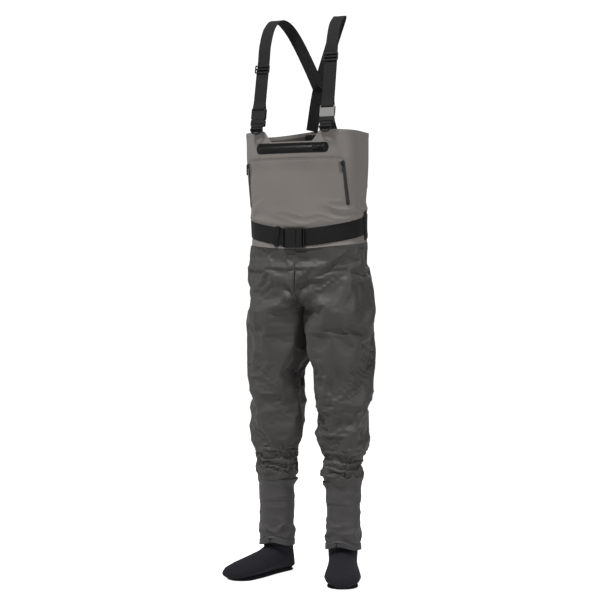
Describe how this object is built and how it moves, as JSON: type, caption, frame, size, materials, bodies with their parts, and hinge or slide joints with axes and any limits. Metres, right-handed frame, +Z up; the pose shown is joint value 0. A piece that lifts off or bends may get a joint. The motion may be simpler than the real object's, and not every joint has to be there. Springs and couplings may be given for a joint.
{
  "type": "chest waders",
  "caption": "Stocking-foot chest waders: two-tone fabric bib and legs, crossed elastic shoulder straps with side-release buckles, waist belt, welded chest zip and neoprene feet.",
  "frame": {"origin": "Middle of the bounding box in plan, on the floor under the soles.", "axes": "+Z up, along the body; the front faces -Y; the wearer's left is +X."},
  "size_m": [0.4106, 0.3188, 1.6438],
  "materials": {
    "bib_fabric": "matt laminated shell, warm taupe-grey",
    "leg_fabric": "matt laminated shell, dark grey",
    "guard_fabric": "matt shell, dark grey",
    "neoprene": "jersey-faced neoprene, black",
    "sole": "matt moulded sole",
    "webbing": "black woven webbing",
    "buckle_plastic": "satin black acetal",
    "weld_film": "satin black welded film",
    "zip_tape": "water-resistant zip tape",
    "zip_metal": "black enamelled zinc",
    "lining": "light inner mesh",
    "hook_metal": "bright steel wire"
  },
  "bodies": {
    "torso": {"bib_front_panel": "bib_fabric", "bib_back_panel": "bib_fabric", "handwarmer_pocket_panel": "bib_fabric", "chest_pocket_bag": "lining", "chest_zip_garage": "weld_film", "chest_zip_tape": "zip_tape", "waist_panel": "leg_fabric", "strap_cross_patch": "weld_film", "rear_strap_anchors": "webbing", "left_strap_rear": "webbing", "right_strap_rear": "webbing", "left_pocket_zip_tape": "zip_tape", "right_pocket_zip_tape": "zip_tape", "left_front_tab": "webbing", "right_front_tab": "webbing", "left_buckle_plug": "buckle_plastic", "right_buckle_plug": "buckle_plastic", "belt_webbing": "webbing", "belt_loops": "webbing", "belt_buckle_socket": "buckle_plastic"},
    "left_thigh": {"left_hip_panel": "leg_fabric", "left_thigh_panel": "leg_fabric"},
    "left_shin": {"left_knee_panel": "leg_fabric", "left_calf_panel": "leg_fabric", "left_gravel_guard": "guard_fabric"},
    "left_foot": {"left_ankle": "neoprene", "left_sock_foot": "neoprene", "left_sock_sole": "sole"},
    "left_socket": {"left_buckle_socket": "buckle_plastic", "left_strap_front": "webbing"},
    "left_adjuster": {"left_adjuster": "buckle_plastic"},
    "left_arm_outer": {"left_buckle_arm_outer": "buckle_plastic"},
    "left_arm_inner": {"left_buckle_arm_inner": "buckle_plastic"},
    "left_pocket_slider": {"left_pocket_zip_slider": "zip_metal"},
    "left_pocket_pull": {"left_pocket_zip_pull": "zip_metal"},
    "left_ring": {"left_d_ring": "buckle_plastic"},
    "left_hook": {"left_lace_hook": "hook_metal"},
    "right_thigh": {"right_hip_panel": "leg_fabric", "right_thigh_panel": "leg_fabric"},
    "right_shin": {"right_knee_panel": "leg_fabric", "right_calf_panel": "leg_fabric", "right_gravel_guard": "guard_fabric"},
    "right_foot": {"right_ankle": "neoprene", "right_sock_foot": "neoprene", "right_sock_sole": "sole"},
    "right_socket": {"right_buckle_socket": "buckle_plastic", "right_strap_front": "webbing"},
    "right_adjuster": {"right_adjuster": "buckle_plastic"},
    "right_arm_outer": {"right_buckle_arm_outer": "buckle_plastic"},
    "right_arm_inner": {"right_buckle_arm_inner": "buckle_plastic"},
    "right_pocket_slider": {"right_pocket_zip_slider": "zip_metal"},
    "right_pocket_pull": {"right_pocket_zip_pull": "zip_metal"},
    "right_ring": {"right_d_ring": "buckle_plastic"},
    "right_hook": {"right_lace_hook": "hook_metal"},
    "chest_slider": {"chest_zip_slider": "zip_metal"},
    "chest_pull": {"chest_zip_pull": "zip_metal"},
    "belt_plug": {"belt_buckle_plug": "buckle_plastic"},
    "belt_arm_upper": {"belt_buckle_arm_upper": "buckle_plastic"},
    "belt_arm_lower": {"belt_buckle_arm_lower": "buckle_plastic"},
    "keeper": {"belt_keeper": "webbing"}
  },
  "joints": [
    {"name": "left_hip", "type": "hinge", "parent": "torso", "child": "left_thigh", "pos_m": [0.0985, 0.04047, 0.87], "axis": [-1, 0, 0], "range_deg": [-20, 70], "deforming": ["left_hip_panel"]},
    {"name": "left_knee", "type": "hinge", "parent": "left_thigh", "child": "left_shin", "pos_m": [0.103, 0.04047, 0.48], "axis": [1, 0, 0], "range_deg": [0, 100], "deforming": ["left_knee_panel"]},
    {"name": "left_ankle", "type": "hinge", "parent": "left_shin", "child": "left_foot", "pos_m": [0.105, 0.04047, 0.095], "axis": [0.9397, 0.342, 0], "range_deg": [-15, 20], "deforming": ["left_ankle"]},
    {"name": "left_buckle_release", "type": "slide", "parent": "torso", "child": "left_socket", "axis": [-0.0075, 0.2033, 0.9791], "range_m": [0, 0.036], "deforming": ["left_strap_rear", "left_buckle_arm_outer", "left_buckle_arm_inner"]},
    {"name": "left_buckle_squeeze_outer", "type": "hinge", "parent": "torso", "child": "left_arm_outer", "pos_m": [0.12273, -0.09423, 1.33512], "axis": [0, 0.9791, -0.2034], "range_deg": [-7, 0], "stiffness_Nm_per_rad": 0.5},
    {"name": "left_buckle_squeeze_inner", "type": "hinge", "parent": "torso", "child": "left_arm_inner", "pos_m": [0.09073, -0.09428, 1.33488], "axis": [0, 0.9791, -0.2034], "range_deg": [0, 7], "stiffness_Nm_per_rad": 0.5},
    {"name": "left_strap_adjust", "type": "slide", "parent": "left_socket", "child": "left_adjuster", "axis": [-0.0075, 0.2033, 0.9791], "range_m": [-0.07, 0.036], "deforming": ["left_strap_front"]},
    {"name": "left_ring_swing", "type": "hinge", "parent": "torso", "child": "left_ring", "pos_m": [0.10695, -0.10848, 1.30834], "axis": [1, 0.0015, 0.0074], "range_deg": [-100, 0]},
    {"name": "left_lace_hook_swing", "type": "hinge", "parent": "left_shin", "child": "left_hook", "pos_m": [0.105, -0.01433, 0.106], "axis": [1, 0, 0], "range_deg": [-80, 0]},
    {"name": "left_pocket_zip", "type": "slide", "parent": "torso", "child": "left_pocket_slider", "axis": [-0.0511, -0.1994, 0.9786], "range_m": [-0.1105, 0]},
    {"name": "left_pocket_pull_swing", "type": "hinge", "parent": "left_pocket_slider", "child": "left_pocket_pull", "pos_m": [0.14916, -0.08123, 1.20259], "axis": [0.6864, 0.7047, 0.1794], "range_deg": [-140, 0]},
    {"name": "right_hip", "type": "hinge", "parent": "torso", "child": "right_thigh", "pos_m": [-0.0985, 0.04047, 0.87], "axis": [-1, 0, 0], "range_deg": [-20, 70], "deforming": ["right_hip_panel"]},
    {"name": "right_knee", "type": "hinge", "parent": "right_thigh", "child": "right_shin", "pos_m": [-0.103, 0.04047, 0.48], "axis": [1, 0, 0], "range_deg": [0, 100], "deforming": ["right_knee_panel"]},
    {"name": "right_ankle", "type": "hinge", "parent": "right_shin", "child": "right_foot", "pos_m": [-0.105, 0.04047, 0.095], "axis": [0.9397, -0.342, 0], "range_deg": [-15, 20], "deforming": ["right_ankle"]},
    {"name": "right_buckle_release", "type": "slide", "parent": "torso", "child": "right_socket", "axis": [0.0075, 0.2033, 0.9791], "range_m": [0, 0.036], "deforming": ["right_strap_rear", "right_buckle_arm_outer", "right_buckle_arm_inner"]},
    {"name": "right_buckle_squeeze_outer", "type": "hinge", "parent": "torso", "child": "right_arm_outer", "pos_m": [-0.12273, -0.09423, 1.33512], "axis": [0, -0.9791, 0.2034], "range_deg": [-7, 0], "stiffness_Nm_per_rad": 0.5},
    {"name": "right_buckle_squeeze_inner", "type": "hinge", "parent": "torso", "child": "right_arm_inner", "pos_m": [-0.09073, -0.09428, 1.33488], "axis": [0, -0.9791, 0.2034], "range_deg": [0, 7], "stiffness_Nm_per_rad": 0.5},
    {"name": "right_strap_adjust", "type": "slide", "parent": "right_socket", "child": "right_adjuster", "axis": [0.0075, 0.2033, 0.9791], "range_m": [-0.05, 0.06], "deforming": ["right_strap_front"]},
    {"name": "right_ring_swing", "type": "hinge", "parent": "torso", "child": "right_ring", "pos_m": [-0.10695, -0.10848, 1.30834], "axis": [1, -0.0015, -0.0074], "range_deg": [-100, 0]},
    {"name": "right_lace_hook_swing", "type": "hinge", "parent": "right_shin", "child": "right_hook", "pos_m": [-0.105, -0.01433, 0.106], "axis": [1, 0, 0], "range_deg": [-80, 0]},
    {"name": "right_pocket_zip", "type": "slide", "parent": "torso", "child": "right_pocket_slider", "axis": [0.0511, -0.1994, 0.9786], "range_m": [-0.1105, 0]},
    {"name": "right_pocket_pull_swing", "type": "hinge", "parent": "right_pocket_slider", "child": "right_pocket_pull", "pos_m": [-0.14916, -0.08123, 1.20259], "axis": [0.6864, -0.7047, -0.1794], "range_deg": [-140, 0]},
    {"name": "chest_zip", "type": "hinge", "parent": "torso", "child": "chest_slider", "pos_m": [0, 0.61547, 1.25], "axis": [0, 0, 1], "range_deg": [-14.36, 0]},
    {"name": "chest_pull_swing", "type": "hinge", "parent": "chest_slider", "child": "chest_pull", "pos_m": [0.09059, -0.10354, 1.25], "axis": [0, 0, -1], "range_deg": [-140, 0]},
    {"name": "belt_release", "type": "slide", "parent": "torso", "child": "belt_plug", "axis": [1, 0, 0], "range_m": [0, 0.034], "deforming": ["belt_webbing", "belt_buckle_arm_upper", "belt_buckle_arm_lower"]},
    {"name": "belt_squeeze_upper", "type": "hinge", "parent": "belt_plug", "child": "belt_arm_upper", "pos_m": [0.0065, -0.08353, 1.0135], "axis": [0, 1, -0.0061], "range_deg": [-6, 0], "stiffness_Nm_per_rad": 0.5},
    {"name": "belt_squeeze_lower", "type": "hinge", "parent": "belt_plug", "child": "belt_arm_lower", "pos_m": [0.0065, -0.08379, 0.9705], "axis": [0, 1, -0.0061], "range_deg": [0, 6], "stiffness_Nm_per_rad": 0.5},
    {"name": "belt_keeper_slide", "type": "slide", "parent": "torso", "child": "keeper", "axis": [0.983, -0.1094, -0.1472], "range_m": [-0.006, 0.006]}
  ],
  "couplings": [
    {"joint": "left_buckle_squeeze_inner", "follows": "left_buckle_squeeze_outer", "ratio": -1},
    {"joint": "right_buckle_squeeze_inner", "follows": "right_buckle_squeeze_outer", "ratio": -1},
    {"joint": "belt_squeeze_lower", "follows": "belt_squeeze_upper", "ratio": -1}
  ]
}
